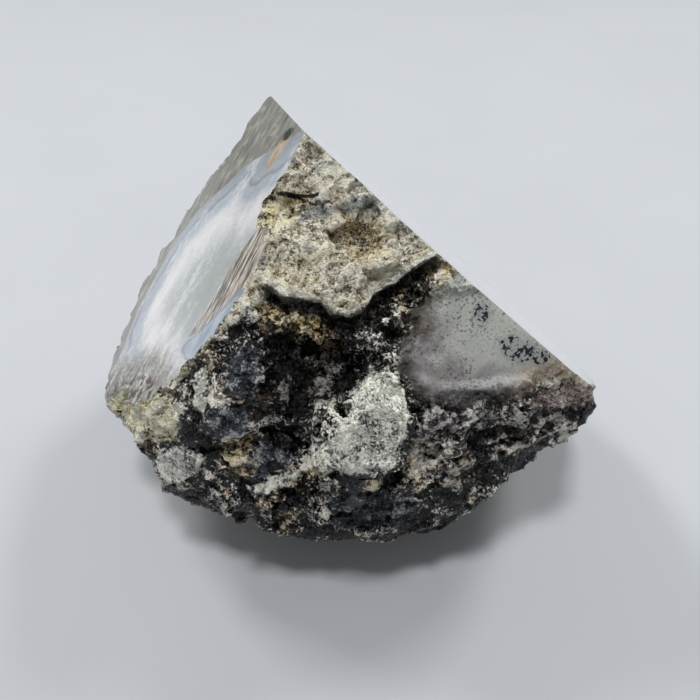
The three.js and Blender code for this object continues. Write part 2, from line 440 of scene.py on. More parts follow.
def fine_relief(point):
    """Small chips, splinters and grains: their height in millimetres along the normal, how far
    each place stands out of its chips, and the tone of its splinters."""
    place, front = chart_of(point)
    clear = ease(window_depth(point, place), 0.5, 3.5) * front
    rind = rind_share(place, front)
    plate = ease(inside_any(place, PALE_PLATES), -0.6, 1.4) * front
    wide_chip, small_chip = scallop(point, WIDE_CHIP[0]), scallop(point, SMALL_CHIP[0])
    chips = WIDE_CHIP[1] * wide_chip * (1 - 0.5 * rind) + SMALL_CHIP[1] * small_chip
    bent = nudged(point, 0.9, 2.2, (131, 141, 151), 2)
    wide_facet, wide_tone = facet(bent, WIDE_SPLINTER[0])
    small_facet, small_tone = facet(bent, SMALL_SPLINTER[0])
    broken = WIDE_SPLINTER[1] * wide_facet * (1 - 0.35 * rind) + SMALL_SPLINTER[1] * small_facet
    grains = rind * RIND_GRAIN[1] * crumble(point, RIND_GRAIN[0], 11)
    grains = grains + FINE_GRAIN[1] * crumble(point, FINE_GRAIN[0], 21, 2)
    polish = 0.25 * crumble(point, 9, 31, 1) + 0.06 * crumble(point, 2.5, 41, 1)
    calm = (1 - 0.55 * plate) * (1 - 0.45 * ease(point[:, 2], -12, -18))
    return {
        "relief": ((chips + broken) * calm + grains) * (1 - clear) + polish * clear,
        "ridge": wide_chip + 0.5 * small_chip,
        "facet_tone": 0.6 * wide_tone + 0.4 * small_tone - 0.5,
    }


def front_marks(point):
    """Where the finishes of the broken faces lie. The front follows the chart, and the rest of
    the stone has patches of the same kinds where noise puts them."""
    place, front = chart_of(point)

    def scattered(width, kind, level):
        return HIDDEN_PATCH * (crumble(point, width, kind) - level)

    low_rock = 14 * (crumble(point, 19, 51) - 0.02) - 0.12 * point[:, 2]
    wide = {
        "black_rock": (inside(place, BLACK_ROCK), low_rock),
        "pale_plate": (inside_any(place, PALE_PLATES), scattered(15, 61, 0.3)),
        "gold_stain": (inside_any(place, GOLD_STAINS), scattered(12, 71, 0.28)),
        "blue_lump": (inside_any(place, BLUE_LUMPS), scattered(14, 81, 0.3)),
        "cream_crust": (inside_any(place, CREAM_CRUSTS), scattered(16, 91, 0.3)),
        "pink_crust": (inside(place, PINK_CRUST), NOWHERE),
        "window": (window_depth(point, place), NOWHERE),
        "hollow_shade": (inside_any(place, SHADED_HOLLOWS), NOWHERE),
        "layers": (inside(place, LAYERED_ROCK), NOWHERE),
        "tan_edge": (inside(place, TAN_EDGE), NOWHERE),
    }
    found = {name: front * seen + (1 - front) * unseen for name, (seen, unseen) in wide.items()}
    dots = [size - np.hypot(*(place - np.array(at)).T) for at, size in DENDRITES]
    found["dendrite"] = np.where(front > 0.5, np.max(dots, axis=0), NOWHERE)
    gap, between = above_line(place, CRACK)
    found["crack"] = np.where((front > 0.5) & (between > 0.5), 0.5 - np.abs(gap), NOWHERE)
    found["lip_height"], between = above_line(place, LIP)
    found["lip_reach"] = front * between
    return found


def marks(point):
    """Where each finish lies: distances into it in millimetres, by name."""
    found = front_marks(point)
    plane = np.stack([point @ LEFT_ALONG, point @ LEFT_DOWN], axis=1)
    for name, outline in LEFT_PATCHES.items():
        found[name] = inside(plane, outline)
    found["right_gap"] = POLISHED_RIGHT[2] - point @ unit(*POLISHED_RIGHT[:2])
    found["vug"] = np.hypot(*(plane - np.array(VUG)).T)
    away = np.linalg.norm(point, axis=1)
    found["skin"] = face_radius(point / away[:, None]) - away
    return found


# Edges longer than this many times the wanted length are cut, and how often that is done.
LONG_EDGE = 1.35
CUTTING_ROUNDS = 3

# Beyond the polished faces the mesh is coarse from the first of these distances on, and the
# fine relief fades from the second to the third.
COARSE_BEYOND = 1
RELIEF_WHOLE = 0.5
RELIEF_ENDS = 2

# Corners nearer to each other than the first are one corner, faces thinner than the second are
# taken away, and planes cut to the accuracy of the third.
SAME_CORNER = 0.03
THIN_FACE = 0.01
CUT_ACCURACY = 1e-4

# A face is polished where it lies this near to a sawn plane and faces its way at least so far,
# as the cosine of the angle between them.
FLAT_WITHIN = 0.01
FLAT_TURN = 0.99


def corners(bm):
    """Places of the vertices of a mesh under construction."""
    return np.array([v.co[:] for v in bm.verts])


def put(bm, place):
    """Moves the vertices of a mesh under construction."""
    for vertex, at in zip(bm.verts, place.tolist()):
        vertex.co = at


def on_ball(place):
    """Directions from the heart."""
    return place / np.linalg.norm(place, axis=1)[:, None]


def broken_ball(settings):
    """The whole broken piece, with the finest mesh where it faces the viewer."""
    bm = bmesh.new()
    bmesh.ops.create_icosphere(bm, subdivisions=6, radius=1)
    for _ in range(CUTTING_ROUNDS):
        way = on_ball(corners(bm))
        point = broken_surface(way)
        _, front = chart_of(point)
        wanted = settings.fine_mesh / MM * front + settings.plain_mesh / MM * (1 - front)
        for azimuth, elevation, distance in (POLISHED_LEFT, POLISHED_RIGHT):
            beyond = point @ unit(azimuth, elevation) > distance + COARSE_BEYOND
            wanted = np.where(beyond, settings.polished_mesh / MM, wanted)
        bm.verts.index_update()
        ends = np.array([[v.index for v in edge.verts] for edge in bm.edges])
        length = np.linalg.norm(point[ends[:, 0]] - point[ends[:, 1]], axis=1)
        long = length > LONG_EDGE * wanted[ends].min(axis=1)
        chosen = [edge for edge, cut in zip(bm.edges, long) if cut]
        if not chosen:
            break
        bmesh.ops.subdivide_edges(bm, edges=chosen, cuts=1, use_grid_fill=True)
        bmesh.ops.triangulate(bm, faces=[face for face in bm.faces if len(face.verts) > 3])
    point = broken_surface(on_ball(corners(bm)))
    put(bm, point)
    bm.normal_update()
    normal = np.array([v.normal[:] for v in bm.verts])
    if (normal * point).sum() < 0:
        normal = -normal
    kept = np.ones(len(point))
    for azimuth, elevation, distance in (POLISHED_LEFT, POLISHED_RIGHT):
        beyond = point @ unit(azimuth, elevation) - distance
        kept *= ease(beyond, RELIEF_ENDS, RELIEF_WHOLE)
    fine = fine_relief(point)
    put(bm, point + normal * (kept * fine["relief"])[:, None])
    for name, values in fine.items():
        layer = bm.verts.layers.float.new(name)
        for vertex, value in zip(bm.verts, values.tolist()):
            vertex[layer] = value
    return bm


def saw(bm):
    """Cuts the broken piece along its flat faces, pulls what was beyond them onto them, and
    returns their normals and distances."""
    flats = [(unit(a, e), d) for a, e, d in (POLISHED_LEFT, POLISHED_RIGHT, RESTING_SPOT)]
    for normal, distance in flats:
        bmesh.ops.bisect_plane(bm, geom=bm.verts[:] + bm.edges[:] + bm.faces[:],
                               dist=CUT_ACCURACY, plane_co=Vector(normal * distance),
                               plane_no=Vector(normal))
    (left, left_distance), (right, right_distance) = flats[:2]
    ridge = Vector(left / left_distance - right / right_distance)
    sawn = [face for face in bm.faces
            if face.calc_center_median().dot(Vector(left)) > left_distance
            or face.calc_center_median().dot(Vector(right)) > right_distance]
    edges = {edge for face in sawn for edge in face.edges}
    verts = {vertex for face in sawn for vertex in face.verts}
    bmesh.ops.bisect_plane(bm, geom=list(verts) + list(edges) + sawn, dist=CUT_ACCURACY,
                           plane_co=Vector((0, 0, 0)), plane_no=ridge.normalized())
    place = corners(bm)
    pull = np.ones(len(place))
    for normal, distance in flats:
        pull = np.minimum(pull, distance / np.maximum(place @ normal, distance))
    put(bm, place * pull[:, None])
    return flats


def drop_fins(bm):
    """Takes away pairs of faces back to back, and faces that hang from the closed surface."""
    alike = {}
    for face in bm.faces:
        alike.setdefault(frozenset(face.verts), []).append(face)
    pairs = [face for faces in alike.values() if len(faces) > 1 for face in faces]
    bmesh.ops.delete(bm, geom=pairs, context="FACES")
    fins = [face for face in bm.faces
            if any(len(edge.link_faces) == 1 for edge in face.edges)
            and any(len(edge.link_faces) > 2 for edge in face.edges)]
    bmesh.ops.delete(bm, geom=fins, context="FACES")


def finish_of(centre, normal, flats):
    """Which finish a face has: 0 broken, 1 polished left, 2 polished right."""
    for index, (way, distance) in enumerate(flats[:2]):
        if abs(centre @ way - distance) < FLAT_WITHIN and normal @ way > FLAT_TURN:
            return index + 1
    return 0


def stone_mesh(settings):
    """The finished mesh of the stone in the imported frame, with its marks."""
    bm = broken_ball(settings)
    flats = saw(bm)
    bmesh.ops.remove_doubles(bm, verts=bm.verts[:], dist=SAME_CORNER)
    bmesh.ops.dissolve_degenerate(bm, edges=bm.edges[:], dist=THIN_FACE)
    bmesh.ops.triangulate(bm, faces=[face for face in bm.faces if len(face.verts) > 3])
    drop_fins(bm)
    bmesh.ops.recalc_face_normals(bm, faces=bm.faces[:])
    for face in bm.faces:
        centre = np.array(face.calc_center_median())
        face.material_index = finish_of(centre, np.array(face.normal), flats)
        face.smooth = True
    for edge in bm.edges:
        if len(edge.link_faces) == 2:
            edge.smooth = edge.calc_face_angle() < settings.crease_angle
    place = corners(bm)
    found = marks(place)
    low = np.array(CAD_LOW) / MM - HEART
    high = np.array(CAD_HIGH) / MM - HEART
    put(bm, (np.clip(place, low, high) + HEART) * MM)
    mesh = bpy.data.meshes.new("agate")
    bm.to_mesh(mesh)
    bm.free()
    for name, values in found.items():
        layer = mesh.attributes.new(name, "FLOAT", "POINT")
        layer.data.foreach_set("value", values.astype(np.float32))
    return mesh


# The middle of the colours that noise gives, where they are read as vectors.
HALF = (0.5, 0.5, 0.5)

# How fast the fine lines of the polished faces repeat, in radians a millimetre.
LINE_PACE = 5.0

# The gloss of the polished faces.
POLISH = {"ior": 1.54, "coat_weight": 0.3, "coat_roughness": 0.03}


class Graph:
    """A short way to write a material's nodes."""

    def __init__(self, name):
        self.material = bpy.data.materials.new(name)
        self.material.use_nodes = True
        self.tree = self.material.node_tree
        self.tree.nodes.clear()
        self.coordinates = self.node("ShaderNodeTexCoord").outputs["Object"]

    def node(self, kind, inputs=None, **settings):
        """A node with its settings, and its inputs linked or set."""
        made = self.tree.nodes.new(kind)
        for key, value in settings.items():
            setattr(made, key, value)
        for key, value in (inputs or {}).items():
            if isinstance(value, bpy.types.NodeSocket):
                self.tree.links.new(value, made.inputs[key])
            else:
                made.inputs[key].default_value = value
        return made

    def noise(self, width, detail=3.0, roughness=0.55, vector=None, distortion=0.0):
        """Noise with lumps of about the given width in millimetres."""
        inputs = {"Vector": vector or self.coordinates, "Scale": 1 / (width * MM),
                  "Detail": detail, "Roughness": roughness, "Distortion": distortion}
        return self.node("ShaderNodeTexNoise", inputs).outputs["Fac"]

    def warped(self, width, reach):
        """Coordinates that noise bends by up to half the reach, in millimetres."""
        inputs = {"Vector": self.coordinates, "Scale": 1 / (width * MM), "Detail": 2.0}
        noise = self.node("ShaderNodeTexNoise", inputs).outputs["Color"]
        centred = self.vector_math("SUBTRACT", noise, HALF)
        return self.vector_math("MULTIPLY_ADD", centred, (reach * MM,) * 3, self.coordinates)

    def splinters(self, width, vector):
        """Flat splinters with slopes of their own: height in millimetres, and a tone for each."""
        cells = self.node("ShaderNodeTexVoronoi", {"Vector": vector, "Scale": 1 / (width * MM)})
        away = self.vector_math("SUBTRACT", vector, cells.outputs["Position"])
        slope = self.vector_math("SUBTRACT", cells.outputs["Color"], HALF)
        height = self.vector_math("DOT_PRODUCT", away, slope, output="Value")
        tone = self.node("ShaderNodeSeparateColor", {"Color": cells.outputs["Color"]}).outputs[1]
        return self.math("MULTIPLY", height, 1 / MM), tone

    def vector_math(self, operation, first, second, third=(0, 0, 0), output="Vector"):
        """One step of arithmetic on vectors."""
        inputs = {0: first, 1: second, 2: third}
        return self.node("ShaderNodeVectorMath", inputs, operation=operation).outputs[output]

    def mark(self, name):
        """A mark of the mesh, by name."""
        return self.node("ShaderNodeAttribute", attribute_name=name).outputs["Fac"]

    def math(self, operation, first, second=0.0, third=0.0):
        """One step of arithmetic."""
        inputs = {0: first, 1: second, 2: third}
        return self.node("ShaderNodeMath", inputs, operation=operation).outputs[0]

    def total(self, start, *parts):
        """The start value plus each part, which is a value and its weight."""
        for value, weight in parts:
            start = self.math("MULTIPLY_ADD", value, weight, start)
        return start

    def span(self, value, low, high, start=0.0, end=1.0, curve="SMOOTHSTEP"):
        """Takes low to start and high to end, softly or straight, and stays there past them."""
        inputs = {"Value": value, "From Min": low, "From Max": high, "To Min": start, "To Max": end}
        return self.node("ShaderNodeMapRange", inputs, interpolation_type=curve).outputs["Result"]

    def mask(self, name, wobble, reach=6.0, soft=0.5, shift=0.0):
        """Where a mark lies, with an edge that noise makes ragged by its reach."""
        moved = self.math("MULTIPLY_ADD", wobble, reach, shift - reach / 2)
        return self.span(self.math("ADD", self.mark(name), moved), -soft, soft)

    def lay(self, colour, over, where, strength=1.0):
        """Lays one colour over another where the mask says, at the given strength."""
        if strength != 1:
            where = self.math("MULTIPLY", where, strength)
        if isinstance(over, tuple):
            over = (*over, 1)
        made = self.node("ShaderNodeMix", {0: where, 6: colour, 7: over}, data_type="RGBA")
        return made.outputs[2]

    def number(self, factor, first, second):
        """Goes from the first number to the second with the factor."""
        made = self.node("ShaderNodeMix", {0: factor, 2: first, 3: second}, data_type="FLOAT")
        return made.outputs[0]

    def ramp(self, factor, stops):
        """Colour by value, from a list of values with their colours."""
        made = self.node("ShaderNodeValToRGB", {"Fac": factor})
        elements = made.color_ramp.elements
        while len(elements) < len(stops):
            elements.new(0.5)
        for element, (position, colour) in zip(elements, stops):
            element.position = position
            element.color = (*colour[:3], 1)
        return made.outputs["Color"]

    def turned(self, first, second, third, stretch=(1, 1, 1)):
        """Coordinates along three given directions, squeezed by the stretch."""
        turn = Matrix((first, second, third)).to_euler()
        made = self.node("ShaderNodeMapping", {"Vector": self.coordinates, "Rotation": turn},
                         vector_type="POINT")
        inputs = {"Vector": made.outputs[0], "Scale": stretch}
        return self.node("ShaderNodeMapping", inputs, vector_type="POINT").outputs[0]

    def lines(self, depth, low, strength):
        """Fine lines that repeat with depth, from 0 up to their strength."""
        wave = self.math("SINE", self.math("MULTIPLY", depth, LINE_PACE))
        return self.span(wave, low, 1.0, 0, strength)

    def bump(self, height, strength, distance):
        """A bumped normal, with its distance in millimetres."""
        inputs = {"Height": height, "Strength": strength, "Distance": distance * MM}
        return self.node("ShaderNodeBump", inputs).outputs[0]

    def surface(self, **inputs):
        """Ends the graph in one shader."""
        names = {key.replace("_", " ").title().replace("Ior", "IOR"): value
                 for key, value in inputs.items()}
        shader = self.node("ShaderNodeBsdfPrincipled", names)
        out = self.node("ShaderNodeOutputMaterial")
        self.tree.links.new(shader.outputs[0], out.inputs["Surface"])
        return self.material


class RockGrain:
    """Noises and tones that the colours of the broken rock share."""

    def __init__(self, g):
        bent = g.warped(0.8, 1.1)
        self.grit = g.noise(0.45, 2.0, 0.6)
        self.grain = g.noise(1.2, 5.0, 0.7)
        self.blotch = g.noise(7, 4.0, 0.6)
        self.wide = g.noise(22, 3.0, 0.5)
        self.flake, self.flake_tone = g.splinters(1.7, bent)
        self.chip, self.chip_tone = g.splinters(0.65, bent)
        _, self.branch_tone = g.splinters(0.5, bent)
        self.ragged = g.total(0, (self.blotch, 0.55), (self.grain, 0.45))
        self.plate = g.mask("pale_plate", self.ragged, 7.0, 0.25)
        # Painted shade and highlight: the height of the fine relief goes into the tones, darker in
        # its hollows and lighter on its tops.
        self.relief = g.span(g.mark("relief"), -0.7, 0.7, -0.09, 0.09)
        facet_tone = g.mark("facet_tone")
        self.pepper = g.total(
            -0.175, (self.grain, 0.5), (self.grit, 0.75), (self.chip_tone, 0.22),
            (self.flake_tone, 0.12), (facet_tone, 0.1), (self.relief, 1))
        # Pale dust on the ridges of the chips, and painted shade in their bowls.
        dust_and_hollow_shade = g.span(g.mark("ridge"), -0.1, 0.7, -0.09, 0.13)
        height = g.node("ShaderNodeSeparateXYZ", {0: g.coordinates}).outputs["Z"]
        lower_shade = g.span(height, 0.024, 0.013, 0, -0.07)
        self.charred = g.total(
            -0.43, (self.pepper, 1), (dust_and_hollow_shade, 1), (facet_tone, 0.12), (lower_shade, 1),
            (g.noise(6, 4.0, 0.6, distortion=0.5), 0.85))


def rind_colour(g, rock, colours):
    """Buff weathered rind, with grey and rusty patches and a waxy rim by the right face."""
    rind = g.ramp(rock.pepper, [
        (0.32, (0.025, 0.021, 0.015)), (0.43, (0.15, 0.128, 0.095)), (0.5, colours.rind),
        (0.57, (0.68, 0.61, 0.44)), (0.66, (0.98, 0.94, 0.8))])
    grey = g.ramp(rock.pepper, [
        (0.32, (0.016, 0.017, 0.019)), (0.43, (0.12, 0.128, 0.132)), (0.53, (0.36, 0.37, 0.36)),
        (0.68, (0.88, 0.88, 0.82))])
    ochre = g.ramp(rock.pepper, [
        (0.34, (0.03, 0.019, 0.008)), (0.47, (0.22, 0.155, 0.075)), (0.57, (0.55, 0.42, 0.22)),
        (0.68, (0.95, 0.84, 0.6))])
    waxy = g.ramp(rock.pepper, [
        (0.38, (0.24, 0.22, 0.16)), (0.5, (0.56, 0.54, 0.42)), (0.64, (0.86, 0.84, 0.72))])
    rusted = g.noise(4.5, 5.0, 0.65, distortion=0.4)
    edge = g.total(g.mark("right_gap"), (rock.ragged, 3.0))
    rind = g.lay(rind, grey, g.span(g.total(rock.wide, (rock.blotch, 0.5)), 0.72, 0.87))
    rind = g.lay(rind, ochre, g.span(rusted, 0.49, 0.62, 0, 0.6))
    return g.lay(rind, waxy, g.span(edge, 4.4, 3.2, 0, 0.8))


def glassy_colour(g, rock, colours):
    """Black glassy rock with pale dust on what stands out, painted shade in its chip bowls, brown
    patches, and fine layers.
    """
    glassy = g.ramp(rock.charred, [
        (0.4, (0.001, 0.001, 0.0015)), (0.53, colours.black_rock), (0.59, (0.03, 0.029, 0.029)),
        (0.63, (0.25, 0.235, 0.21)), (0.7, (0.92, 0.88, 0.78))])
    brown = g.ramp(rock.charred, [
        (0.38, (0.003, 0.002, 0.002)), (0.53, (0.035, 0.023, 0.014)), (0.61, (0.2, 0.135, 0.08)),
        (0.7, (0.88, 0.76, 0.55))])
    glassy = g.lay(glassy, brown, g.span(g.noise(9, 4.0, 0.6, distortion=0.4), 0.54, 0.62))
    across = Vector((0.89, 0.316, 0.32)).normalized()
    square = across.cross(Vector(CHART_OUT)).normalized()
    layered = g.turned(across, square, across.cross(square), (0.12, 1, 1))
    # The layers carry the painted shade and highlight of the fine relief as well.
    layer = g.total(rock.relief, (rock.chip_tone, 0.2), (g.noise(1.5, 4.0, 0.65, layered), 1))
    layers = g.ramp(layer, [
        (0.5, (0.002, 0.002, 0.002)), (0.6, (0.02, 0.016, 0.015)), (0.65, (0.16, 0.13, 0.12)),
        (0.72, (0.92, 0.85, 0.82))])
    return g.lay(glassy, layers, g.mask("layers", rock.ragged, 9.0, 1.5), 0.6)


def cream_colour(g, rock, colours):
    """Chalky cream crust with yellow patches."""
    creamy = g.ramp(rock.pepper, [
        (0.38, (0.025, 0.02, 0.012)), (0.44, (0.34, 0.27, 0.15)), (0.49, colours.cream),
        (0.56, (1.0, 0.96, 0.76))])
    yellow = g.ramp(rock.pepper, [
        (0.4, (0.15, 0.09, 0.015)), (0.47, (0.68, 0.52, 0.17)), (0.56, (1.0, 0.88, 0.42))])
    return g.lay(creamy, yellow, g.span(g.noise(2.2, 4.0, 0.65), 0.51, 0.6, 0, 0.7))


def patched(g, rock, colour, rind, creamy, colours):
    """Lays the lumps, plates, crusts and stains of the broken rock over its colour."""
    blue_grey = g.ramp(rock.charred, [
        (0.4, (0.012, 0.015, 0.019)), (0.57, colours.blue_lump), (0.72, (0.34, 0.38, 0.42))])
    colour = g.lay(colour, blue_grey, g.mask("blue_lump", rock.ragged, 9.0, 0.8, -0.3), 0.75)

    salted = g.ramp(rock.pepper, [
        (0.36, (0.025, 0.026, 0.025)), (0.45, (0.15, 0.16, 0.155)), (0.53, colours.plate),
        (0.62, (0.97, 0.96, 0.84))])
    salted = g.lay(salted, rind, g.span(rock.wide, 0.5, 0.62, 0, 0.6))
    colour = g.lay(colour, salted, rock.plate)
    colour = g.lay(colour, creamy, g.mask("cream_crust", rock.ragged, 9.0, 0.8, 1.5), 0.95)

    rosy = g.ramp(rock.pepper, [
        (0.34, (0.03, 0.02, 0.017)), (0.52, (0.24, 0.15, 0.125)), (0.7, (0.75, 0.65, 0.6))])
    colour = g.lay(colour, rosy, g.mask("pink_crust", rock.ragged, 9.0, 0.8))

    golden = g.ramp(rock.pepper, [
        (0.42, (0.015, 0.009, 0.004)), (0.5, colours.gold), (0.59, (0.5, 0.37, 0.16)),
        (0.69, (0.95, 0.84, 0.58))])
    patchy = g.total(g.noise(2.6, 5.0, 0.7), (rock.flake_tone, 0.3))
    stained = g.mask("gold_stain", rock.ragged, 8.0, 1.0)
    colour = g.lay(colour, golden, stained, g.span(patchy, 0.6, 0.7, 0.1, 0.95))

    # Painted shade darkens the deep hollows.
    hollow = g.mask("hollow_shade", rock.ragged, 7.0, 1.2)
    colour = g.lay(colour, (0.003, 0.003, 0.003), hollow, 0.6)
    crack = g.total(g.mark("crack"), (rock.grain, 0.5))
    return g.lay(colour, (0.003, 0.003, 0.003), g.span(crack, 0.3, 0.45))


def lipped(g, rock, colour, creamy):
    """Lays the pale crest of the lip, chalk crust with a painted highlight, and the painted shade
    under it over the colour.
    """
    chalk_and_highlight = g.ramp(rock.pepper, [
        (0.36, (0.35, 0.32, 0.25)), (0.5, (0.85, 0.8, 0.67)), (0.64, (1.0, 0.97, 0.87))])
    reach = g.mark("lip_reach")
    over = g.total(-0.8, (g.mark("lip_height"), 1), (rock.grain, 1.6))
    above = g.math("MULTIPLY", reach, g.span(over, -0.15, 0.15))
    colour = g.lay(colour, creamy, above, g.span(over, 6, 0.5, 0, 0.5))
    # The crest: chalk crust with a painted highlight along the edge of the lip.
    colour = g.lay(colour, chalk_and_highlight, above, g.span(over, 1.5, 0.7, 0, 0.85))
    # Painted shade under the lip.
    below = g.math("MULTIPLY", reach, g.span(over, 0.15, -0.15))
    shade = g.math("MULTIPLY", below, g.span(g.total(over, (rock.ragged, 8)), 1.2, 2.4))
    return g.lay(colour, (0.004, 0.004, 0.004), shade, 0.85)


def window_colour(g, rock, colours):
    """Clear chalcedony with milky clouds, flecks, a rusty edge and dark dendrites."""
    milk = g.noise(8, 5.0, 0.6, distortion=0.5)
    rim = g.total(g.mark("window"), (milk, 14.0))
    window = g.ramp(g.span(rim, 5.5, 21), [
        (0.0, (0.08, 0.062, 0.052)), (0.1, (0.17, 0.155, 0.15)), (0.2, (0.28, 0.272, 0.28)),
        (0.34, (0.25, 0.23, 0.222)), (0.46, colours.window), (0.62, (0.44, 0.435, 0.43)),
        (0.8, (0.38, 0.38, 0.355)), (1.0, (0.45, 0.46, 0.42))])
    window = g.lay(window, (0.5, 0.5, 0.51), g.span(milk, 0.55, 0.7, 0, 0.5))
    window = g.lay(window, (0.49, 0.51, 0.45), g.span(g.mark("right_gap"), 12, 2, 0, 0.8))
    flecks = g.span(rock.grit, 0.52, 0.61)
    window = g.lay(window, (0.07, 0.07, 0.06), flecks, g.span(rock.ragged, 0.42, 0.56, 0.1, 0.8))
    rusty = g.ramp(rock.pepper, [
        (0.4, (0.12, 0.05, 0.02)), (0.52, (0.3, 0.2, 0.12)), (0.66, (0.5, 0.42, 0.33))])
    window = g.lay(window, rusty, g.mask("tan_edge", rock.ragged, 10.0, 2.0), 0.8)
    dendrite = g.mark("dendrite")
    window = g.lay(window, (0.16, 0.19, 0.21), g.span(dendrite, -1.2, 0.6, 0, 0.45))
    branch = g.total(g.math("MINIMUM", dendrite, 0.7), (rock.branch_tone, 3.0))
    return g.lay(window, (0.008, 0.009, 0.011), g.span(branch, 2.5, 2.6))


def broken_finish(colours):
    """Weathered rind, black glassy rock, pale plates, stains and the clear window."""
    g = Graph("broken_rock")
    rock = RockGrain(g)
    black = g.mask("black_rock", rock.ragged, 9.0, 0.35)
    clear = g.mask("window", rock.ragged, 5.0, 0.8)
    rind = rind_colour(g, rock, colours)
    creamy = cream_colour(g, rock, colours)
    colour = g.lay(rind, glassy_colour(g, rock, colours), black)
    colour = patched(g, rock, colour, rind, creamy, colours)
    colour = lipped(g, rock, colour, creamy)
    colour = g.lay(colour, window_colour(g, rock, colours), clear)

    dusty = g.span(rock.charred, 0.56, 0.66)
    glossy = g.number(dusty, g.span(rock.chip_tone, 0.2, 0.9, 0.16, 0.45), 0.7)
    roughness = g.number(black, 0.86, glossy)
    roughness = g.number(rock.plate, roughness, 0.85)
    roughness = g.number(clear, roughness, g.span(g.mark("window"), 0, 4, 0.8, 0.42))
    splinter = g.total(0, (rock.flake, 1.5), (rock.chip, 1.3))
    rough = g.total(splinter, (rock.grit, 0.35), (rock.grain, g.number(black, 1.5, 0.6)))
    deep = g.span(g.mark("window"), 0, 3.5)
    height = g.number(deep, rough, g.math("MULTIPLY", rock.grain, 0.06))
    return g.surface(base_color=colour, roughness=roughness, normal=g.bump(height, 1.0, 1.0))


def left_finish(colours):
    """Polished agate: host rock, bands that follow its wall, and the milky middle."""
    g = Graph("polished_left")
    long = 0.69 * LEFT_ALONG + 0.72 * LEFT_DOWN
    wide = -0.72 * LEFT_ALONG + 0.69 * LEFT_DOWN
    inwards = -unit(*POLISHED_LEFT[:2])
    streaked = g.turned(long, wide, inwards, (0.3, 1, 1))
    streak = g.noise(1.6, 5.0, 0.65, streaked)
    fine = g.noise(0.5, 3.0, 0.6, g.turned(long, wide, inwards, (0.14, 1, 1)))
    blotch = g.noise(6, 4.0, 0.55)
    grit = g.noise(0.7, 3.0, 0.6)
    cloudy = g.noise(5, 5.0, 0.6, streaked)
    ragged = g.total(0, (blotch, 0.6), (streak, 0.4))

    fort = g.total(g.mark("fort"), (blotch, 3.2), (streak, 1.2))
    colour = g.ramp(g.span(fort, -6, 22, curve="LINEAR"), [
        (0.0, (0.28, 0.3, 0.3)), (0.12, colours.blue_band), (0.24, (0.42, 0.46, 0.49)),
        (0.29, (0.26, 0.29, 0.35)), (0.31, (0.47, 0.5, 0.55)), (0.4, (0.44, 0.49, 0.54)),
        (0.48, colours.white_band), (0.58, (0.8, 0.79, 0.8)), (0.68, (0.68, 0.68, 0.69)),
        (0.8, (0.48, 0.51, 0.51)), (0.9, (0.42, 0.45, 0.45)), (1.0, (0.4, 0.42, 0.41))])
    faint = g.span(fort, 7, 2, 0.3, 1)
    colour = g.lay(colour, (0.25, 0.28, 0.33), g.lines(fort, 0.3, 0.22), faint)
    mottled = g.total(0, (g.noise(1.4, 4.0, 0.65), 0.35), (cloudy, 0.65))
    colour = g.lay(colour, (0.88, 0.87, 0.86), g.span(mottled, 0.48, 0.62, 0, 0.55))
    colour = g.lay(colour, (0.3, 0.32, 0.33), g.span(mottled, 0.48, 0.38, 0, 0.3))

    rock = g.ramp(streak, [
        (0.3, (0.1, 0.1, 0.09)), (0.43, colours.host), (0.56, (0.28, 0.275, 0.24)),
        (0.7, (0.46, 0.44, 0.38))])
    spots = g.noise(3.5, 5.0, 0.65)
    rock = g.lay(rock, (0.52, 0.49, 0.39), g.span(spots, 0.55, 0.66, 0, 0.6))
    colour = g.lay(colour, rock, g.mask("host", ragged, 3.2, 0.3))

    striped = g.ramp(fine, [
        (0.36, (0.07, 0.055, 0.045)), (0.46, (0.25, 0.215, 0.18)), (0.55, (0.42, 0.38, 0.32)),
        (0.64, (0.78, 0.72, 0.62))])
    strip_edge = g.total(0, (blotch, 0.6), (fine, 0.4))
    colour = g.lay(colour, striped, g.mask("strip", strip_edge, 4.0, 0.4))
    pale_blue = g.ramp(cloudy, [
        (0.38, (0.22, 0.28, 0.36)), (0.5, colours.pocket), (0.6, (0.5, 0.54, 0.56))])
    colour = g.lay(colour, pale_blue, g.mask("pocket", ragged, 6.0, 2.0))
    rim = g.math("ABSOLUTE", g.total(-2.0, (g.mark("pocket"), 1), (ragged, 4.0)))
    colour = g.lay(colour, (0.14, 0.17, 0.23), g.span(rim, 0.5, 0.1, 0, 0.45))

    low = g.mask("low_end", cloudy, 9.0, 3.0, 2.0)
    ended = g.ramp(g.total(0, (grit, 0.4), (streak, 0.6)), [
        (0.38, (0.06, 0.052, 0.042)), (0.46, (0.19, 0.18, 0.155)), (0.54, (0.34, 0.33, 0.29)),
        (0.62, (0.7, 0.67, 0.57))])
    colour = g.lay(colour, ended, low, 0.85)
    rusty = g.mask("low_end", cloudy, 9.0, 1.5, -3.2)
    spotted = g.span(g.noise(1.7, 5.0, 0.65), 0.51, 0.54)
    colour = g.lay(colour, (0.06, 0.02, 0.008), rusty, spotted)

    brown = g.ramp(streak, [(0.4, (0.38, 0.25, 0.13)), (0.6, (0.66, 0.5, 0.32))])
    colour = g.lay(colour, brown, g.mask("stain", ragged, 4.0, 1.0), 0.8)
    # Painted shade: a dark spot where the small vug lies, standing in for a pit that the flat
    # polished face does not have.
    vug_shade = g.total(g.mark("vug"), (grit, 2.4))
    colour = g.lay(colour, (0.02, 0.018, 0.012), g.span(vug_shade, 3.3, 2.4))
    normal = g.bump(grit, 0.08, 0.1)
    return g.surface(base_color=colour, roughness=g.number(low, 0.09, 0.4), normal=normal, **POLISH)


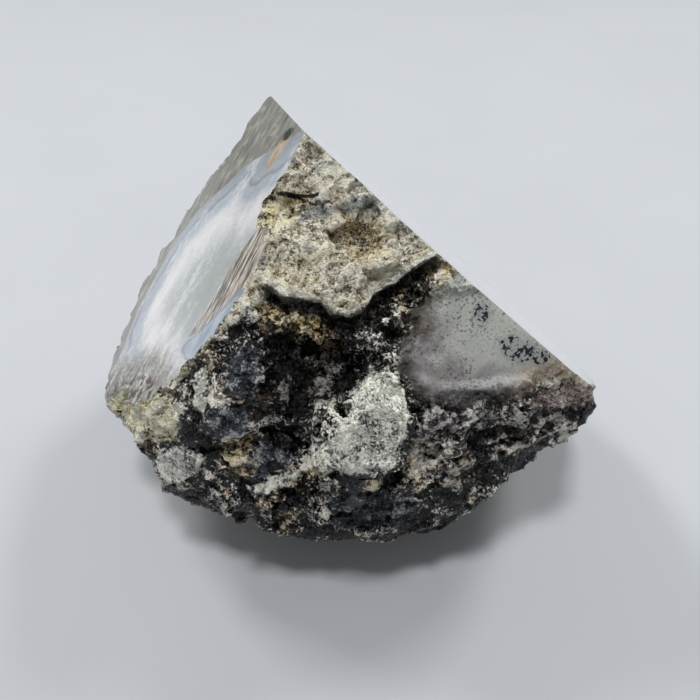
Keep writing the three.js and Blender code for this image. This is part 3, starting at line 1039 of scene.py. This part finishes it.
def right_finish(colours):
    """Polished agate with bands that follow the skin of the nodule round a cloudy core."""
    g = Graph("polished_right")
    cloudy = g.noise(5, 6.0, 0.65, distortion=0.4)
    depth = g.total(g.mark("skin"), (g.noise(11, 5.0, 0.55), 11.0), (g.noise(2.5, 3.0, 0.5), 0.9))
    colour = g.ramp(g.span(depth, 3, 29, curve="LINEAR"), [
        (0.0, (0.2, 0.19, 0.17)), (0.1, (0.3, 0.29, 0.25)), (0.13, (0.5, 0.43, 0.32)),
        (0.16, (0.4, 0.42, 0.42)), (0.28, (0.5, 0.53, 0.55)), (0.33, colours.white_band),
        (0.36, (0.46, 0.49, 0.54)), (0.47, (0.6, 0.62, 0.66)), (0.55, (0.76, 0.76, 0.78)),
        (0.58, (0.42, 0.44, 0.5)), (0.64, (0.56, 0.58, 0.62)), (0.72, (0.7, 0.7, 0.72)),
        (1.0, (0.5, 0.52, 0.55))])
    seen = g.math("MULTIPLY", g.span(depth, 21, 16), g.span(cloudy, 0.4, 0.6, 0.25, 1))
    colour = g.lay(colour, (0.34, 0.36, 0.41), g.lines(depth, 0.2, 0.35), seen)
    core = g.ramp(cloudy, [
        (0.35, (0.4, 0.43, 0.46)), (0.5, (0.55, 0.57, 0.6)), (0.65, (0.78, 0.78, 0.79))])
    colour = g.lay(colour, core, g.span(depth, 20, 25))
    rock = g.ramp(g.noise(1.6, 5.0, 0.65), [
        (0.35, (0.1, 0.1, 0.09)), (0.5, colours.host), (0.65, (0.5, 0.48, 0.4))])
    colour = g.lay(colour, rock, g.span(depth, 7.2, 6.4))
    normal = g.bump(g.noise(0.8), 0.06, 0.1)
    return g.surface(base_color=colour, roughness=0.08, normal=normal, **POLISH)


def edge_property(name, where, length, least):
    """A length of mesh edges that a user may change."""
    return FloatProperty(name=name, description=f"Length of mesh edges on {where}",
                         default=length, min=least, unit="LENGTH")


class AgateSizes(bpy.types.PropertyGroup):
    """How finely the stone is shaped."""

    fine_mesh: edge_property("Fine mesh", "the broken front", 0.00043, 0.0002)
    plain_mesh: edge_property("Plain mesh", "the rest of the broken faces", 0.00092, 0.0004)
    polished_mesh: edge_property("Polished mesh", "the polished faces", 0.0013, 0.0004)
    crease_angle: FloatProperty(
        name="Crease angle", description="Faces that meet more steeply than this show an edge",
        default=math.radians(38), subtype="ANGLE")
    most_triangles: IntProperty(
        name="Most triangles", description="The stone is not built with more triangles",
        default=199000)


def colour_property(name, description, red, green, blue):
    """A colour that a user may change."""
    return FloatVectorProperty(name=name, description=description, default=(red, green, blue),
                               size=3, min=0, max=1, subtype="COLOR")


class AgateColours(bpy.types.PropertyGroup):
    """Main colours of the stone's finishes."""

    rind: colour_property("Rind", "Buff weathered crust", 0.38, 0.335, 0.25)
    black_rock: colour_property("Black rock", "Glassy dark rock of the front", 0.008, 0.008, 0.01)
    plate: colour_property("Pale plate", "Salt and pepper patches", 0.54, 0.55, 0.49)
    cream: colour_property("Cream", "Chalky crust", 0.9, 0.8, 0.54)
    gold: colour_property("Gold", "Iron stain", 0.24, 0.155, 0.055)
    blue_lump: colour_property("Blue grey", "Blue grey lumps of the rock", 0.1, 0.12, 0.145)
    window: colour_property("Window", "Clear chalcedony of the front", 0.38, 0.38, 0.36)
    host: colour_property("Host rock", "Grey olive rock of the polished face", 0.22, 0.215, 0.185)
    blue_band: colour_property("Blue band", "Bluish chalcedony", 0.31, 0.35, 0.38)
    white_band: colour_property("White band", "Milky chalcedony", 0.72, 0.71, 0.73)
    pocket: colour_property("Pale blue pocket", "Pale blue chalcedony", 0.35, 0.42, 0.49)


class StageLook(bpy.types.PropertyGroup):
    """Floor, light and view."""

    floor: colour_property("Floor", "Plain pale floor", 0.52, 0.54, 0.565)
    window_light: FloatProperty(
        name="Window light", description="Power of each soft light behind the stone",
        default=2.4, min=0, unit="POWER")
    ceiling_light: FloatProperty(
        name="Ceiling light", description="Power of the soft light above the stone",
        default=3.2, min=0, unit="POWER")
    sky: FloatProperty(name="Sky", description="Strength of the even light", default=0.26, min=0)
    lens: FloatProperty(
        name="Lens", description="Focal length in millimetres", default=36.05, min=1)
    look_down: FloatProperty(
        name="Look down", description="How far the camera looks down",
        default=math.radians(44.55), subtype="ANGLE")


class OBJECT_OT_agate_stone(bpy.types.Operator):
    """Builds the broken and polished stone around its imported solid"""

    bl_idname = "object.agate_stone"
    bl_label = "Agate stone"

    def execute(self, context):
        scene = context.scene
        mesh = stone_mesh(scene.agate_sizes)
        if len(mesh.polygons) > scene.agate_sizes.most_triangles:
            raise RuntimeError(f"the stone has {len(mesh.polygons)} triangles")
        for finish in (broken_finish, left_finish, right_finish):
            mesh.materials.append(finish(scene.agate_colours))
        stone = bpy.data.objects.new("agate", mesh)
        scene.collection.objects.link(stone)
        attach(stone, "root")
        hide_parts(STONE_NODE)
        return {"FINISHED"}


# The stage, in metres: half the side of the floor, the place and side of each soft light, the
# point that the lights face, and the camera's place.
FLOOR_REACH = 2.5
WINDOW_LIGHTS = {
    "left_window": ((-0.42, 0.34, 0.6), 0.17),
    "right_window": ((0.42, 0.36, 0.6), 0.17),
}
CEILING_LIGHT = ((-0.05, -0.12, 0.85), 0.12)
LIGHTS_FACE = (0, 0, 0.03)
CAMERA_PLACE = (-0.000197, -0.11294, 0.1363)


def soft_light(name, at, size, power):
    """A square soft light that faces the stone."""
    light = bpy.data.lights.new(name, "AREA")
    light.size = size
    light.energy = power
    holder = bpy.data.objects.new(name, light)
    holder.location = at
    towards = Vector(LIGHTS_FACE) - Vector(at)
    holder.rotation_euler = towards.to_track_quat("-Z", "Y").to_euler()
    bpy.context.scene.collection.objects.link(holder)


class SCENE_OT_agate_stage(bpy.types.Operator):
    """Lays the floor, and sets the lights and the camera"""

    bl_idname = "scene.agate_stage"
    bl_label = "Agate stage"

    def execute(self, context):
        scene = context.scene
        look = scene.agate_stage_look
        bm = bmesh.new()
        bmesh.ops.create_grid(bm, x_segments=2, y_segments=2, size=FLOOR_REACH)
        mesh = bpy.data.meshes.new("floor")
        bm.to_mesh(mesh)
        bm.free()
        g = Graph("pale_floor")
        weave = g.noise(0.9, 2.0)
        duller = tuple(0.97 * part for part in look.floor)
        shade = g.ramp(g.noise(60, 2.0), [(0.3, duller), (0.7, look.floor)])
        finish = g.surface(base_color=shade, roughness=0.7, normal=g.bump(weave, 0.1, 0.1))
        mesh.materials.append(finish)
        floor = bpy.data.objects.new("floor", mesh)
        scene.collection.objects.link(floor)

        for name, (at, size) in WINDOW_LIGHTS.items():
            soft_light(name, at, size, look.window_light)
        soft_light("ceiling", *CEILING_LIGHT, look.ceiling_light)
        world = bpy.data.worlds.new("even_light")
        world.use_nodes = True
        background = world.node_tree.nodes["Background"]
        background.inputs["Color"].default_value = (0.93, 0.96, 1.0, 1)
        background.inputs["Strength"].default_value = look.sky
        scene.world = world
        scene.view_settings.view_transform = "Standard"

        camera = bpy.data.cameras.new("camera")
        camera.sensor_width = 36
        camera.lens = look.lens
        camera.clip_start = 0.01
        holder = bpy.data.objects.new("camera", camera)
        holder.location = CAMERA_PLACE
        holder.rotation_euler = (math.pi / 2 - look.look_down, 0, 0)
        scene.collection.objects.link(holder)
        scene.camera = holder
        return {"FINISHED"}


class VIEW3D_PT_agate(bpy.types.Panel):
    """Lists the steps that build the specimen"""

    bl_idname = "VIEW3D_PT_agate"
    bl_label = "Banded agate"
    bl_space_type = "VIEW_3D"
    bl_region_type = "UI"
    bl_category = "Agate"

    def draw(self, context):
        scene = context.scene
        for group_name in GROUPS:
            group = getattr(scene, group_name)
            for name in group.__annotations__:
                self.layout.prop(group, name)
        self.layout.operator(OBJECT_OT_agate_stone.bl_idname)
        self.layout.operator(SCENE_OT_agate_stage.bl_idname)


GROUPS = {"agate_sizes": AgateSizes, "agate_colours": AgateColours, "agate_stage_look": StageLook}
CLASSES = (*GROUPS.values(), OBJECT_OT_agate_stone, SCENE_OT_agate_stage, VIEW3D_PT_agate)


def register():
    """Adds the classes, and their values to the scene."""
    for item in CLASSES:
        bpy.utils.register_class(item)
    for name, group in GROUPS.items():
        setattr(bpy.types.Scene, name, PointerProperty(type=group))


def unregister():
    """Takes them away again."""
    for name in GROUPS:
        delattr(bpy.types.Scene, name)
    for item in reversed(CLASSES):
        bpy.utils.unregister_class(item)


def main():
    """Builds the stone and the stage."""
    register()
    bpy.ops.object.agate_stone()
    bpy.ops.scene.agate_stage()


if __name__ == "__main__":
    main()
